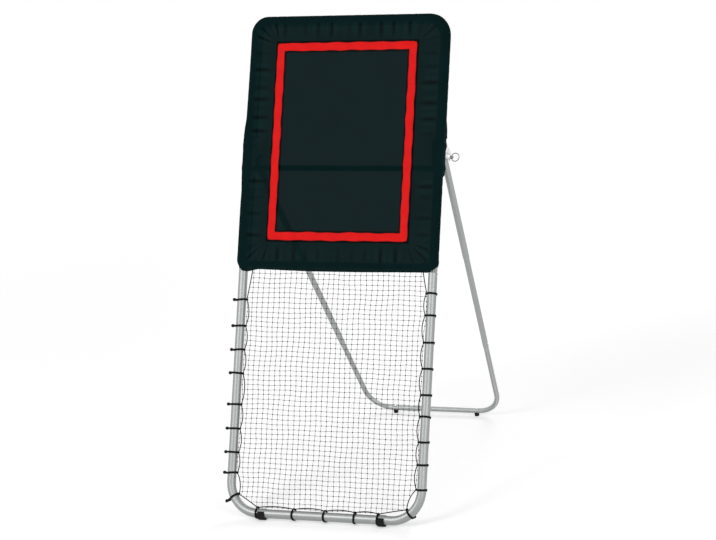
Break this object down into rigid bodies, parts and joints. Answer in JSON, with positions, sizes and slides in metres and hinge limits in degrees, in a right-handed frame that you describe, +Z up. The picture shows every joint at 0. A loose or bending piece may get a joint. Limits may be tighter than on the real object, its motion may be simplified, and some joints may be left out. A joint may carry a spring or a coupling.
{
  "type": "rebound net",
  "caption": "Free-standing ball rebounder: a leaning tube frame with a taut fabric target above a laced net, held up by a folding rear stand with pull pins.",
  "frame": {"origin": "on the ground, at the middle of the footprint between the front feet and the stand's base bar", "axes": "+Z up, -Y the way the target faces, +X across the frame to the right as seen from the front"},
  "size_m": [0.9986, 1.2919, 1.9642],
  "materials": {
    "galvanised_tube": "galvanised steel tube, dull with faint lengthwise bands",
    "zinc_plate": "bright zinc plating",
    "pin_steel": "dark oiled steel",
    "black_fabric": "tight woven polyester, matt",
    "red_tape": "woven polyester webbing, sewn on",
    "net_twine": "knotted nylon twine",
    "black_cord": "braided elastic cord with moulded beads",
    "black_rubber": "moulded rubber",
    "black_plastic": "moulded plastic"
  },
  "bodies": {
    "front_frame": {"frame_upper_tube": "galvanised_tube", "frame_lower_tube": "galvanised_tube", "crossbar": "galvanised_tube", "net_rail": "galvanised_tube", "pivot_bracket_left": "zinc_plate", "pivot_bracket_right": "zinc_plate", "bracket_bolt_left": "zinc_plate", "bracket_bolt_right": "zinc_plate", "bracket_nut_left": "zinc_plate", "bracket_nut_right": "zinc_plate", "crossbar_bolt_left": "zinc_plate", "crossbar_bolt_right": "zinc_plate", "pivot_bolt_left": "zinc_plate", "pivot_bolt_right": "zinc_plate", "pivot_nut_left": "zinc_plate", "pivot_nut_right": "zinc_plate", "target_cover": "black_fabric", "target_sheet": "black_fabric", "target_tape": "red_tape", "net_panel": "net_twine", "net_lacing_left": "black_cord", "net_lacing_right": "black_cord", "net_lacing_top": "black_cord", "net_lacing_bottom": "black_cord", "front_foot_left": "black_rubber", "front_foot_right": "black_rubber"},
    "stand": {"leg_upper_left": "galvanised_tube", "leg_upper_right": "galvanised_tube", "leg_middle_left": "galvanised_tube", "leg_middle_right": "galvanised_tube", "leg_cap_left": "black_plastic", "leg_cap_right": "black_plastic", "pivot_sleeve_left": "galvanised_tube", "pivot_sleeve_right": "galvanised_tube", "base_tube": "galvanised_tube", "base_bumper_left": "black_rubber", "base_bumper_right": "black_rubber", "bumper_screw_left": "zinc_plate", "bumper_screw_right": "zinc_plate"},
    "left_pin": {"lock_pin_left": "pin_steel"},
    "right_pin": {"lock_pin_right": "pin_steel"},
    "left_ring": {"pin_ring_left": "pin_steel"},
    "right_ring": {"pin_ring_right": "pin_steel"},
    "left_frame_button": {"snap_button_frame_left": "zinc_plate"},
    "right_frame_button": {"snap_button_frame_right": "zinc_plate"},
    "left_upper_leg_button": {"snap_button_upper_leg_left": "zinc_plate"},
    "right_upper_leg_button": {"snap_button_upper_leg_right": "zinc_plate"},
    "left_lower_leg_button": {"snap_button_lower_leg_left": "zinc_plate"},
    "right_lower_leg_button": {"snap_button_lower_leg_right": "zinc_plate"}
  },
  "joints": [
    {"name": "stand_fold", "type": "hinge", "parent": "front_frame", "child": "stand", "pos_m": [0, 0.04173, 1.39638], "axis": [1, 0, 0], "range_deg": [-47, 0]},
    {"name": "left_pin_pull", "type": "slide", "parent": "front_frame", "child": "left_pin", "axis": [-1, 0, 0], "range_m": [0, 0.055]},
    {"name": "right_pin_pull", "type": "slide", "parent": "front_frame", "child": "right_pin", "axis": [1, 0, 0], "range_m": [0, 0.055]},
    {"name": "left_ring_swing", "type": "hinge", "parent": "left_pin", "child": "left_ring", "pos_m": [-0.4646, 0.06595, 1.38724], "axis": [0, 0.4067, 0.9135], "range_deg": [-80, 65]},
    {"name": "right_ring_swing", "type": "hinge", "parent": "right_pin", "child": "right_ring", "pos_m": [0.4646, 0.06595, 1.38724], "axis": [0, 0.4067, 0.9135], "range_deg": [-65, 80]},
    {"name": "left_frame_button_press", "type": "slide", "parent": "front_frame", "child": "left_frame_button", "axis": [1, 0, 0], "range_m": [0, 0.0045], "stiffness_N_per_m": 3000, "springref_m": -0.002},
    {"name": "right_frame_button_press", "type": "slide", "parent": "front_frame", "child": "right_frame_button", "axis": [-1, 0, 0], "range_m": [0, 0.0045], "stiffness_N_per_m": 3000, "springref_m": -0.002},
    {"name": "left_upper_leg_button_press", "type": "slide", "parent": "stand", "child": "left_upper_leg_button", "axis": [0.9964, -0.0334, 0.0774], "range_m": [0, 0.0045], "stiffness_N_per_m": 3000, "springref_m": -0.002},
    {"name": "right_upper_leg_button_press", "type": "slide", "parent": "stand", "child": "right_upper_leg_button", "axis": [-0.9964, -0.0334, 0.0774], "range_m": [0, 0.0045], "stiffness_N_per_m": 3000, "springref_m": -0.002},
    {"name": "left_lower_leg_button_press", "type": "slide", "parent": "stand", "child": "left_lower_leg_button", "axis": [0.9964, -0.0334, 0.0774], "range_m": [0, 0.0045], "stiffness_N_per_m": 3000, "springref_m": -0.002},
    {"name": "right_lower_leg_button_press", "type": "slide", "parent": "stand", "child": "right_lower_leg_button", "axis": [-0.9964, -0.0334, 0.0774], "range_m": [0, 0.0045], "stiffness_N_per_m": 3000, "springref_m": -0.002}
  ]
}
